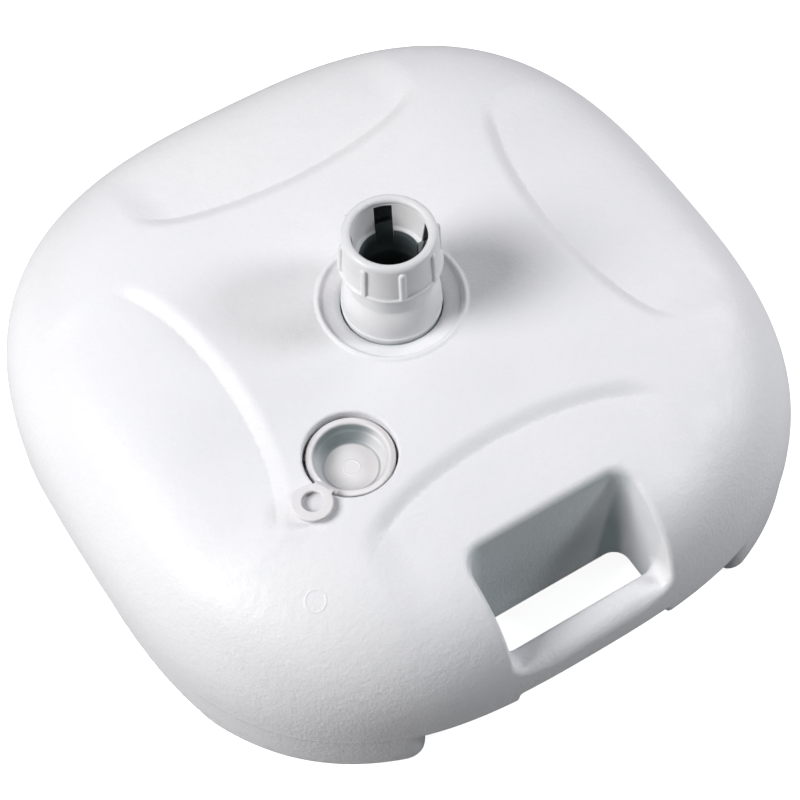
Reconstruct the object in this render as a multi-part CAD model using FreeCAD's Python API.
import FreeCAD, Part
import math
import os

from FreeCAD import Vector

# Water-filled parasol base: blow-moulded tank with a clamped pole socket.
# Millimetres, +Z up. Origin: on the ground plane, on the axis of the pole socket.
# -Y is the side with the carrying handle; the filler plug is towards -X -Y.

ORIGIN = Vector(0, 0, 0)
X_AXIS, Y_AXIS, Z_AXIS = Vector(1, 0, 0), Vector(0, 1, 0), Vector(0, 0, 1)

# ---- tank dimensions -------------------------------------------------------
HALF_WIDTH = 250.0       # over the seam
PLAN_POWER = 2.81        # superellipse exponent of the plan
PLAN_POINTS = 64         # points interpolated round each outline
CROWN_Z = 140.85
SEAM_Z = 36.0            # widest outline, the mould's parting line
UNDER_Z = 30.0           # underside, also the height of the feet
WALL = 3.5
# Crown: z = seam + (crown - seam) * (1 - s^CROWN_POWER)^(1 / CROWN_ROOT)
CROWN_POWER = 5.12
CROWN_ROOT = 2.4
# Outline scales s at which the crown is lofted, seam to centre
CROWN_SCALES = (0.9975, 0.99, 0.975, 0.955, 0.93, 0.895, 0.85,
                0.79, 0.72, 0.64, 0.54, 0.42, 0.30)
# Rounded lower edge: (shrink of the outline, rise above the underside)
UNDER_EDGE = ((0.0155, 0.0), (0.0095, 0.7), (0.0045, 2.2), (0.0012, 4.3))

# Four sloping elliptical facets in the crown
FACET_X = 171.0          # centre from the axis
FACET_Z = 126.6          # floor height at the centre
FACET_HALF_LENGTH = 112.0
FACET_HALF_WIDTH = 44.0
FACET_TILT = 10.6        # degrees, down and outwards
FACET_FLARE = 2.2        # run over rise of the edge
FACET_RISE = 24.0        # height of the cutter

# Handle: a pocket above the grip bar, a slot behind it and a relief below it
HANDLE_HALF_X = 61.0
HANDLE_TOP_Y = -181.0    # pocket's back wall at the shoulder
HANDLE_UNDER_Y = -190.0  # and at the underside
SHOULDER_Z = 128.0
BAR_INNER_Y = -227.0
BAR_Z0, BAR_Z1 = 39.0, 65.0
CUT_OUTER_Y = -320.0     # clear of the tank on the handle side
CUT_BASE_Z = -5.0        # clear below the tank

# Feet, described in the +X +Y corner
FOOT_END_X = 116.0       # blunt end face
FOOT_END_R = 14.0        # rounding under the blunt end
FOOT_CORNER_R = 20.0     # rounding of its outer corner, seen from above
FOOT_CORNER_Y = 210.8    # where that rounding starts
FOOT_TOE_Y = 150.0       # where the ramp meets the ground
FOOT_RAMP = 0.3          # slope of the ramp
# Rounded outer edge: (rise above the sole, scale of the outline)
FOOT_EDGE = ((0.0, 0.9885), (0.8, 0.9935), (2.2, 0.9968), (4.5, 0.9982))
FOOT_TOP_SCALE = 0.9996

# Well for the pole tube
WELL_R = 34.3            # mouth
WELL_Z = 112.0           # ledge the tube's bell stands on
LOWER_WELL_R = 24.6
RECESS_R = 48.7          # recess round the well
RECESS_Z = 135.4         # its floor at the well mouth

# Filler
PLUG_X, PLUG_Y = -84.8, -87.3
FILL_RIM_R = 32.2        # outer edge of the recess
FILL_WALL_R = 30.4       # recess wall at the shelf
FILL_BORE_R = 26.6
FILL_TOP_Z = 140.2       # tank surface there
FILL_SHELF_Z = 132.0
TAB_X, TAB_Y = -124.4, -106.7   # centre of the pull tab

# ---- tube, nut and clamp dimensions ----------------------------------------
BORE_R = 19.3            # for a 38 mm pole
TUBE_R = 23.0
TUBE_Z0 = 7.0            # underside of the foot
TUBE_FLOOR = 3.0
DRAIN_R = 4.0            # hole in the tube's foot
TUBE_TOP = 190.0
BELL_R = 33.4
BELL_INNER_R = 30.4
NECK_R = 28.5
TUBE_RIB_Z, TUBE_RIB_HEIGHT = 116.0, 40.0
TUBE_RIB_WIDTH = 2.0
TUBE_RIB_BITE = 0.3      # overlap into the tube and into the bell
TUBE_RIB_ANGLES = [60 * k + 10 for k in range(6)]

THREAD_SINK = 0.25       # how far a ridge is sunk into its wall
COLLAR_PITCH = 2.0
MALE_ROOT, MALE_CREST = 27.9, 28.9
FEMALE_ROOT, FEMALE_CREST = 29.4, 28.35
MALE_THREAD_Z = 184.9
NUT_PITCH = 3.0
NUT_THREAD_HEIGHT = 1.2
NUT_THREAD_Z0, NUT_THREAD_Z1 = 11.0, 30.0

NUT_Z0, NUT_Z1 = 15.0, 28.0
NUT_CLEARANCE = 1.35
NUT_BODY_R = 34.0
NUT_FLANGE_R = 38.0
NUT_FLANGE = 3.0
LUG_X0, LUG_X1 = 32.0, 40.0
LUG_WIDTH = 7.0
LUG_FILLET = 1.2
WASHER_R = 37.0
WASHER_CLEARANCE = 1.4

COLLAR_Z0, COLLAR_Z1 = 182.5, 214.0
SEAT_Z = 209.5           # collar's inner shoulder, which pushes on the collet
LIP_R = 24.8             # mouth of the collar and collet
COLLAR_RIB_X = 29.95     # inner face, inside the collar wall
COLLAR_RIB_SIZE = 4.4    # across and outwards
COLLAR_RIB_HEIGHT = 25.6
COLLAR_RIB_FILLET = 1.9
COLLAR_RIB_ANGLES = [-107.0 + 45.0 * k for k in range(8)]

CLAMP_R = 19.5           # collet's gripping bore, relaxed
COLLET_BASE_Z = 172.5
COLLET_SLOT_WIDTH = 12.0
COLLET_SLOT_Z = 165.0    # cutter base, below the collet
COLLET_BRIDGE = 1.1      # left uncut at the top
COLLET_SLOT_ANGLES = [68.7 + 90.0 * k for k in range(4)]

# ---- plug dimensions -------------------------------------------------------
PLUG_RIM_Z = 135.6
TAB_Z0, TAB_Z1 = 140.6, 142.9
TAB_OUTER_R, TAB_HOLE_R = 13.3, 7.7
TAB_FILLET = 0.7
STRAP_WIDTH = 12.7


# ---- helpers ---------------------------------------------------------------
def outward(solid):
    """The solid, reversed if it came out inside out."""
    if solid.Volume < 0:
        solid.reverse()
    return solid


def revolve(profile, axis_x=0.0, axis_y=0.0):
    """Solid of revolution about the vertical through (axis_x, axis_y). A point is (r, z), or
    (mid r, mid z, end r, end z) for an arc from the point before it."""
    edges = []
    start = Vector(profile[0][0], 0, profile[0][1])
    for point in profile[1:] + profile[:1]:
        end = Vector(point[-2], 0, point[-1])
        if len(point) == 4:
            edges.append(Part.Arc(start, Vector(point[0], 0, point[1]), end).toShape())
        else:
            edges.append(Part.makeLine(start, end))
        start = end
    face = Part.Face(Part.Wire(Part.__sortEdges__(edges)))
    solid = outward(face.revolve(ORIGIN, Z_AXIS, 360))
    solid.translate(Vector(axis_x, axis_y, 0))
    return solid


def superellipse(half_width, z):
    """Closed plan outline of the tank at height z."""
    points = []
    for i in range(PLAN_POINTS):
        angle = 2 * math.pi * (i + 0.5) / PLAN_POINTS
        cos, sin = math.cos(angle), math.sin(angle)
        r = half_width / (abs(cos) ** PLAN_POWER + abs(sin) ** PLAN_POWER) ** (1.0 / PLAN_POWER)
        points.append(Vector(r * cos, r * sin, z))
    curve = Part.BSplineCurve()
    curve.interpolate(Points=points, PeriodicFlag=True)
    return Part.Wire([curve.toShape()])


def loft(wires, ruled=False):
    return outward(Part.makeLoft(wires, True, ruled))


def rounded_rect(z, half_x, y0, y1, r0, r1):
    """Rectangle centred on x = 0 at height z; r0 rounds its corners at y0, r1 those at y1."""
    diagonal = math.sqrt(0.5)
    # x, y of the corner, directions into the rectangle, radius
    corners = [(-half_x, y0, 1, 1, r0), (half_x, y0, -1, 1, r0),
               (half_x, y1, -1, -1, r1), (-half_x, y1, 1, -1, r1)]
    arcs = []
    for i, (x, y, into_x, into_y, r) in enumerate(corners):
        centre_x, centre_y = x + into_x * r, y + into_y * r
        ends = [Vector(x, centre_y, z), Vector(centre_x, y, z)]
        if i % 2:
            ends.reverse()
        middle = Vector(centre_x - into_x * r * diagonal, centre_y - into_y * r * diagonal, z)
        arcs.append((ends[0], middle, ends[1]))
    edges = []
    for i, arc in enumerate(arcs):
        edges.append(Part.Arc(*arc).toShape())
        edges.append(Part.makeLine(arc[2], arcs[(i + 1) % 4][0]))
    return Part.Wire(edges)


def edges_at(shape, x, z=None):
    """Edges whose centre lies at x and, if given, at z."""
    return [edge for edge in shape.Edges
            if abs(edge.CenterOfMass.x - x) < 1e-6
            and (z is None or abs(edge.CenterOfMass.z - z) < 1e-6)]


def around(shape, angles):
    """Copies of a shape turned about the pole axis, angles in degrees."""
    copies = []
    for angle in angles:
        turned = shape.copy()
        turned.rotate(ORIGIN, Z_AXIS, angle)
        copies.append(turned)
    return copies


def corners_of(shape):
    """The four mirror images of a shape."""
    images = [shape]
    for flip_x, flip_y in ((True, False), (True, True), (False, True)):
        image = shape.copy()
        if flip_x:
            image = image.mirror(ORIGIN, X_AXIS)
        if flip_y:
            image = image.mirror(ORIGIN, Y_AXIS)
        images.append(image)
    return images


def largest(shape):
    return max(shape.Solids, key=lambda solid: solid.Volume)


def helix_ridge(root, crest, z0, z1, pitch, root_width, crest_width):
    """Helical thread ridge; the crest radius is below the root's for an internal thread."""
    base = root - THREAD_SINK if crest > root else root + THREAD_SINK
    base_width = root_width + (root_width - crest_width) * THREAD_SINK / abs(crest - root)
    helix = Part.makeHelix(pitch, z1 - z0, base)
    points = [Vector(base, 0, -base_width / 2), Vector(crest, 0, -crest_width / 2),
              Vector(crest, 0, crest_width / 2), Vector(base, 0, base_width / 2)]
    section = Part.makePolygon(points + points[:1])
    ridge = outward(Part.Wire(helix).makePipeShell([section], True, True))
    ridge.translate(Vector(0, 0, z0))
    return ridge


def add_thread(body, turn=None, **ridge_sizes):
    """Body with a thread ridge, turned by so many degrees if asked."""
    # Guards the sweep and its fuse, which may fail: the body is then left plain
    try:
        ridge = helix_ridge(**ridge_sizes)
        if turn is not None:
            ridge.rotate(ORIGIN, Z_AXIS, turn)
        threaded = body.fuse(ridge)
        if threaded.isValid() and len(threaded.Solids) == 1:
            return threaded
    except Exception:
        pass
    return body


# ---- tank ------------------------------------------------------------------
# Solids with an inset shrink by it, to shape the cavity inside the outer skin. Cutters with
# a grow swell by it, to leave a wall round each cut-out.
def tank_hull(inset):
    """Crowned superellipse body without its cut-outs."""
    half_width = HALF_WIDTH - inset
    under = UNDER_Z + inset
    seam = SEAM_Z + inset * 0.3
    wires = []
    for shrink, rise in UNDER_EDGE:
        z = under + rise * (seam - under) / (SEAM_Z - UNDER_Z)
        wires.append(superellipse(half_width * (1 - shrink), z))
    wires.append(superellipse(half_width, seam))
    for scale in CROWN_SCALES:
        height = (1 - scale ** CROWN_POWER) ** (1.0 / CROWN_ROOT)
        z = seam + (CROWN_Z - inset - seam) * height
        wires.append(superellipse(half_width * scale, z))
    return loft(wires)


def facet_tool(grow=0.0):
    """Flared elliptical cutter for the facet on the +X side."""
    def ellipse(spread, z):
        edge = Part.Ellipse(Vector(0, 0, z), FACET_HALF_LENGTH + grow + spread,
                            FACET_HALF_WIDTH + grow + spread).toShape()
        edge.rotate(ORIGIN, Z_AXIS, 90)     # long axis along Y
        return Part.Wire([edge])

    tool = loft([ellipse(0.0, 0.0), ellipse(FACET_FLARE * FACET_RISE, FACET_RISE)], True)
    tool.translate(Vector(0, 0, -grow))
    tool.rotate(ORIGIN, Y_AXIS, FACET_TILT)
    tool.translate(Vector(FACET_X, 0, FACET_Z))
    return tool


def pocket_tool(grow=0.0):
    """Hand pocket cut into the shoulder above the grip bar."""
    base = BAR_Z1 - grow
    fraction = (base - UNDER_Z) / (SHOULDER_Z - UNDER_Z)
    base_y = HANDLE_UNDER_Y + (HANDLE_TOP_Y - HANDLE_UNDER_Y) * fraction
    # z, change of half width, back wall y
    stations = ((base, -1.6, base_y), (SHOULDER_Z, 0.6, HANDLE_TOP_Y),
                (170.0, 1.6, HANDLE_TOP_Y + 4.0))
    return loft([rounded_rect(z, HANDLE_HALF_X + widen + grow, CUT_OUTER_Y, y + grow, 2.0, 15.0)
                 for z, widen, y in stations], True)


def slot_tool(grow=0.0):
    """Through slot behind the grip bar."""
    # z, change of half width, back wall y
    stations = ((CUT_BASE_Z, -2.6, HANDLE_UNDER_Y - 2.5),
                (BAR_Z1 + 3.0, -1.6, HANDLE_UNDER_Y + 3.2))
    return loft([rounded_rect(z, HANDLE_HALF_X + widen + grow, BAR_INNER_Y - grow, y + grow,
                              10.0, 12.0)
                 for z, widen, y in stations], True)


def relief_tool(grow=0.0):
    """Relief under the grip bar."""
    # z, change of half width
    stations = ((CUT_BASE_Z, -1.0), (BAR_Z0 + grow, -2.0))
    return loft([rounded_rect(z, HANDLE_HALF_X + widen + grow, CUT_OUTER_Y,
                              BAR_INNER_Y + 6.0 + grow, 2.0, 6.0)
                 for z, widen in stations], True)


def foot(inset, top):
    """Foot in the +X +Y corner, up to height top: a blunt rounded end towards the Y axis,
    a long ramp towards the X axis."""
    end_x = FOOT_END_X + inset
    sole = inset
    ramp_shift = inset * math.hypot(1.0, FOOT_RAMP)
    toe_y = FOOT_TOE_Y + (ramp_shift - sole) / FOOT_RAMP
    top_y = FOOT_TOE_Y + (ramp_shift - top) / FOOT_RAMP
    outline = [(toe_y, sole), (300.0, sole), (300.0, top), (top_y, top), (toe_y, sole)]
    side = Part.makePolygon([Vector(end_x, y, z) for y, z in outline])
    block = Part.Face(side).extrude(Vector(200.0, 0, 0))
    block = block.makeFillet(FOOT_END_R - inset, edges_at(block, end_x, sole))

    # Round the outer corner of the blunt end
    corner_y = FOOT_CORNER_Y - inset
    height = top + 20.0
    base = sole - 10.0
    nib = Part.makeBox(FOOT_CORNER_R * 1.3 + 6.0, 60.0, height,
                       Vector(end_x - 6.0, corner_y, base))
    nib = nib.cut(Part.makeCylinder(FOOT_CORNER_R, height,
                                    Vector(end_x + FOOT_CORNER_R, corner_y, base)))
    block = block.cut(nib)

    # Trim to the tank's outline
    half_width = HALF_WIDTH - inset
    wires = [superellipse(half_width * scale, sole + rise) for rise, scale in FOOT_EDGE]
    wires.append(superellipse(half_width * FOOT_TOP_SCALE, top))
    return block.common(loft(wires, True))


def cut_outs(grow, well, filler):
    """Every cutter of the tank, each swollen by grow except the two given."""
    return around(facet_tool(grow), (0, 90, 180, 270)) + [
        pocket_tool(grow), slot_tool(grow), relief_tool(grow), well, filler]


def tank_outside():
    well = revolve([
        (0, 20), (LOWER_WELL_R, 20), (LOWER_WELL_R, WELL_Z), (WELL_R, WELL_Z),
        (WELL_R, RECESS_Z), (RECESS_R - 1.9, 139.0), (RECESS_R, 140.9), (RECESS_R, 150),
        (0, 150)])
    filler = revolve([
        (0, 110), (FILL_BORE_R, 110), (FILL_BORE_R, FILL_SHELF_Z), (FILL_WALL_R, FILL_SHELF_Z),
        (FILL_WALL_R, FILL_TOP_Z - 3.2),
        (FILL_WALL_R + 0.4, FILL_TOP_Z - 1.2, FILL_RIM_R, FILL_TOP_Z),
        (FILL_RIM_R + 0.4, 150), (0, 150)], PLUG_X, PLUG_Y)
    body = tank_hull(0.0).fuse(corners_of(foot(0.0, SEAM_Z)))
    return body.cut(cut_outs(0.0, well, filler))


def tank_cavity():
    """Everything a wall inside the outer skin and outside each cut-out."""
    well = revolve([
        (0, 10), (LOWER_WELL_R + WALL, 10), (LOWER_WELL_R + WALL, WELL_Z - WALL),
        (WELL_R + WALL, WELL_Z - WALL), (WELL_R + WALL, RECESS_Z - WALL),
        (RECESS_R + 2.0, 135.5), (RECESS_R + 2.0, 160), (0, 160)])
    filler = revolve([
        (0, 118), (FILL_BORE_R + 3.0, 118), (FILL_BORE_R + 3.0, FILL_SHELF_Z - WALL),
        (FILL_WALL_R + WALL, FILL_SHELF_Z - WALL), (FILL_WALL_R + WALL, FILL_TOP_Z - 6.0),
        (FILL_RIM_R + 3.0, 160), (0, 160)], PLUG_X, PLUG_Y)
    cavity = tank_hull(WALL).fuse(corners_of(foot(WALL, UNDER_Z + WALL + 8.0)))
    return largest(cavity.cut(cut_outs(WALL, well, filler)))


def make_tank():
    body = tank_outside().cut(tank_cavity())
    # The filler bore opens into the cavity
    return body.cut(Part.makeCylinder(FILL_BORE_R, 30, Vector(PLUG_X, PLUG_Y, 105)))


# ---- socket tube and its fixing --------------------------------------------
def make_tube():
    """Pole tube with a bell that stands on the well's ledge and a threaded neck."""
    floor = TUBE_Z0 + TUBE_FLOOR
    tube = revolve([
        (DRAIN_R, TUBE_Z0), (TUBE_R - 1.2, TUBE_Z0), (TUBE_R, TUBE_Z0 + 1.2),
        (TUBE_R, 157.0), (24.3, 160.6, 26.6, 157.5), (29.1, 150.5, BELL_INNER_R, 143.0),
        (BELL_INNER_R, WELL_Z), (BELL_R, WELL_Z), (BELL_R, 146.0),
        (31.4, 155.6, NECK_R, 162.6), (NECK_R, 183.2), (MALE_ROOT, 184.0),
        (MALE_ROOT, TUBE_TOP - 0.4), (MALE_ROOT - 0.4, TUBE_TOP), (25.4, TUBE_TOP),
        (21.9, 171.0), (BORE_R, 167.0), (BORE_R, floor), (DRAIN_R, floor)])
    # Ribs between the inner tube and the bell
    rib_x = TUBE_R - TUBE_RIB_BITE
    rib = Part.makeBox(BELL_INNER_R + TUBE_RIB_BITE - rib_x, TUBE_RIB_WIDTH, TUBE_RIB_HEIGHT,
                       Vector(rib_x, -TUBE_RIB_WIDTH / 2, TUBE_RIB_Z))
    tube = tube.fuse(around(rib, TUBE_RIB_ANGLES))
    tube = add_thread(tube, root=MALE_ROOT, crest=MALE_CREST, z0=MALE_THREAD_Z,
                      z1=TUBE_TOP - 0.9, pitch=COLLAR_PITCH, root_width=1.0, crest_width=0.4)
    return add_thread(tube, root=TUBE_R, crest=TUBE_R + NUT_THREAD_HEIGHT, z0=NUT_THREAD_Z0,
                      z1=NUT_THREAD_Z1, pitch=NUT_PITCH, root_width=1.5, crest_width=0.6)


def make_nut():
    """Flanged lock nut with six lugs."""
    bore = TUBE_R + NUT_CLEARANCE
    flange_z = NUT_Z1 - NUT_FLANGE
    nut = revolve([
        (bore, NUT_Z0 + 0.8), (bore + 0.8, NUT_Z0), (NUT_BODY_R - 1.0, NUT_Z0),
        (NUT_BODY_R, NUT_Z0 + 1.0), (NUT_BODY_R, flange_z), (NUT_FLANGE_R, flange_z),
        (NUT_FLANGE_R, NUT_Z1), (bore, NUT_Z1)])
    lug = Part.makeBox(LUG_X1 - LUG_X0, LUG_WIDTH, flange_z - NUT_Z0,
                       Vector(LUG_X0, -LUG_WIDTH / 2, NUT_Z0))
    lug = lug.makeFillet(LUG_FILLET, edges_at(lug, LUG_X1))
    return nut.fuse(around(lug, [60 * k for k in range(6)]))


def make_washer():
    """Washer filling the gap between the nut and the tank's underside."""
    bore = TUBE_R + WASHER_CLEARANCE
    return revolve([(bore, NUT_Z1), (WASHER_R, NUT_Z1), (WASHER_R, UNDER_Z), (bore, UNDER_Z)])


# ---- clamp -----------------------------------------------------------------
def make_collar():
    """Ribbed, internally threaded collar."""
    base, top = COLLAR_Z0, COLLAR_Z1
    collar = revolve([
        (29.7, base), (34.1, base), (34.6, base + 0.5), (34.6, base + 1.5),
        (34.1, base + 2.1), (32.9, base + 2.6), (31.6, top - 7.0), (31.4, top - 3.2),
        (29.9, top - 0.6, 27.7, top), (25.7, top - 0.8, LIP_R, top - 2.8), (LIP_R, SEAT_Z),
        (29.0, SEAT_Z), (29.0, SEAT_Z - 3.6), (FEMALE_ROOT, SEAT_Z - 4.2),
        (FEMALE_ROOT, base + 2.0), (29.7, base + 1.4)])

    rib_z = base + 1.0
    rib_face = COLLAR_RIB_X + COLLAR_RIB_SIZE
    rib = Part.makeBox(COLLAR_RIB_SIZE, COLLAR_RIB_SIZE, COLLAR_RIB_HEIGHT,
                       Vector(COLLAR_RIB_X, -COLLAR_RIB_SIZE / 2, rib_z))
    # Round the outer face's upright edges and its top edge
    rib = rib.makeFillet(COLLAR_RIB_FILLET,
                         edges_at(rib, rib_face, rib_z + COLLAR_RIB_HEIGHT / 2)
                         + edges_at(rib, rib_face, rib_z + COLLAR_RIB_HEIGHT))
    collar = collar.fuse(around(rib, COLLAR_RIB_ANGLES))

    # The thread runs half a pitch out of step with the tube's ridge
    thread_z = base + 3.4
    turns = (thread_z - MALE_THREAD_Z) / COLLAR_PITCH - 0.5
    return add_thread(collar, turn=360.0 * turns, root=FEMALE_ROOT, crest=FEMALE_CREST,
                      z0=thread_z, z1=SEAT_Z - 5.4, pitch=COLLAR_PITCH,
                      root_width=1.0, crest_width=0.4)


def make_collet():
    """Collet split by four slots open at the bottom."""
    top = SEAT_Z - 0.1
    collet = revolve([
        (LIP_R, top), (28.6, top), (28.6, top - 3.3), (27.4, top - 3.6), (27.4, 192.6),
        (24.95, 191.2), (21.7, COLLET_BASE_Z), (CLAMP_R, COLLET_BASE_Z), (CLAMP_R, 186.2),
        (CLAMP_R + 0.5, 188.0), (20.9, 189.2), (22.0, 189.5), (22.6, 190.3)])
    slot = Part.makeBox(25.0, COLLET_SLOT_WIDTH, top - COLLET_BRIDGE - COLLET_SLOT_Z,
                        Vector(10.0, -COLLET_SLOT_WIDTH / 2, COLLET_SLOT_Z))
    return collet.cut(around(slot, COLLET_SLOT_ANGLES))


# ---- filler plug -----------------------------------------------------------
def make_pull_tab():
    """Ring above the tank's surface and the strap that joins it to the plug's rim."""
    ring = Part.makeCylinder(TAB_OUTER_R, TAB_Z1 - TAB_Z0, ORIGIN)
    ring = ring.cut(Part.makeCylinder(TAB_HOLE_R, 10, Vector(0, 0, -3)))
    circles = [edge for edge in ring.Edges if len(edge.Vertexes) == 1]
    ring = ring.makeFillet(TAB_FILLET, circles)
    offset_x, offset_y = TAB_X - PLUG_X, TAB_Y - PLUG_Y
    reach = math.hypot(offset_x, offset_y)
    ring.translate(Vector(reach, 0, TAB_Z0))

    # Side view of the strap: distance from the plug's axis, z
    side = [(26.6, PLUG_RIM_Z - 1.0), (28.0, PLUG_RIM_Z - 0.3), (28.75, 136.95),
            (29.6, 139.3), (31.5, TAB_Z0 + 0.15), (reach - 8.6, TAB_Z0 + 0.15),
            (reach - 8.6, TAB_Z1), (31.2, TAB_Z1), (28.5, 141.4), (27.2, 138.4),
            (26.6, 136.8)]
    outline = Part.makePolygon([Vector(x, -STRAP_WIDTH / 2, z) for x, z in side + side[:1]])
    tab = ring.fuse(Part.Face(outline).extrude(Vector(0, STRAP_WIDTH, 0)))
    tab.rotate(ORIGIN, Z_AXIS, math.degrees(math.atan2(offset_y, offset_x)))
    tab.translate(Vector(PLUG_X, PLUG_Y, 0))
    return tab


def make_plug():
    """Cup-shaped plug resting on the filler's shelf, with its pull tab."""
    seat = FILL_SHELF_Z + 0.05
    rim = PLUG_RIM_Z
    plug = revolve([
        (0, 119.4), (18.6, 119.4), (20.8, 120.4), (24.6, 129.0), (26.3, 129.8),
        (26.3, 131.0), (25.9, seat), (28.7, seat), (28.9, FILL_SHELF_Z + 0.4),
        (28.9, rim - 0.5), (28.4, rim), (25.9, rim), (25.3, rim - 0.6), (23.6, 130.6),
        (22.6, 129.4), (20.0, 123.0), (18.1, 121.5), (0, 121.5)], PLUG_X, PLUG_Y)
    return plug.fuse(make_pull_tab())


# ---- write -----------------------------------------------------------------
PARTS = {
    "tank_body": make_tank,
    "pole_tube": make_tube,
    "tube_lock_nut": make_nut,
    "tube_washer": make_washer,
    "clamp_collar": make_collar,
    "split_collet": make_collet,
    "filler_plug": make_plug,
}
os.makedirs("parts", exist_ok=True)
for name, make in PARTS.items():
    largest(make()).exportStep("parts/%s.step" % name)
